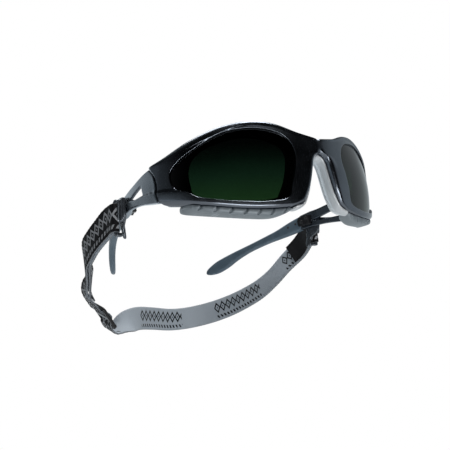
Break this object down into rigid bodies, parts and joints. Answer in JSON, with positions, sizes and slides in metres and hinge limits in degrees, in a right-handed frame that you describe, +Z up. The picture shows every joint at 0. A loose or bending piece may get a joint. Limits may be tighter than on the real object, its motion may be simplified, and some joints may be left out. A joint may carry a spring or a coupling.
{
  "type": "welding goggles",
  "caption": "Wraparound welding glasses with dark green lenses in a full-rim front, folding temples with soft tips, and an adjustable elastic head strap.",
  "frame": {"origin": "where the arch of the nose piece rests on the wearer's nose, 8 mm behind the front of the lenses and 8 mm above their middle", "axes": "+Z up as worn, -Y forwards through the lenses, +Y back along the temples, +X to the wearer's left"},
  "size_m": [0.1396, 0.1745, 0.0833],
  "materials": {
    "frame": "moulded plastic with a polished dark graphite finish",
    "lens": "very dark green welding shade, polished",
    "seal": "soft black foam rubber",
    "nose_rubber": "soft silver-grey rubber, satin",
    "vent": "slate-grey rubber, satin, with slots",
    "screw": "small turned steel screw",
    "temple": "metallic slate-grey lacquer over moulded plastic",
    "tip": "soft slate-grey rubber",
    "pin": "black plastic pins",
    "anchor": "light grey moulded plastic",
    "lock": "black moulded plastic",
    "slider": "black moulded plastic",
    "strap": "woven elastic, black with a light grey woven pattern"
  },
  "bodies": {
    "front": {"front_frame": "frame", "lens_right": "lens", "lens_left": "lens", "lens_seal_right": "seal", "lens_seal_left": "seal", "nose_piece": "nose_rubber", "vent_strip_right": "vent", "vent_strip_left": "vent", "hinge_screw_right": "screw", "hinge_screw_left": "screw", "strap_run_right": "strap", "strap_back": "strap"},
    "right_temple": {"temple_arm_right": "temple", "temple_tip_right": "tip", "tip_pins_right": "pin", "strap_anchor_right": "anchor", "anchor_lock_right": "lock", "strap_end_right": "strap"},
    "left_temple": {"temple_arm_left": "temple", "temple_tip_left": "tip", "tip_pins_left": "pin", "strap_anchor_left": "anchor", "anchor_lock_left": "lock", "strap_end_left": "strap"},
    "slider": {"strap_slider": "slider", "strap_loop": "strap"}
  },
  "joints": [
    {"name": "right_temple_fold", "type": "hinge", "parent": "front", "child": "right_temple", "pos_m": [-0.0589, 0.0316, -0.008], "axis": [0, 0, -1], "range_deg": [0, 76], "deforming": ["strap_end_right", "strap_run_right", "strap_back", "strap_loop"]},
    {"name": "left_temple_fold", "type": "hinge", "parent": "front", "child": "left_temple", "pos_m": [0.0589, 0.0316, -0.008], "axis": [0, 0, 1], "range_deg": [0, 57], "deforming": ["strap_end_left"]},
    {"name": "strap_slider_travel", "type": "slide", "parent": "front", "child": "slider", "axis": [0.61, 0.27, -0.745], "range_m": [-0.004, 0.004]}
  ]
}
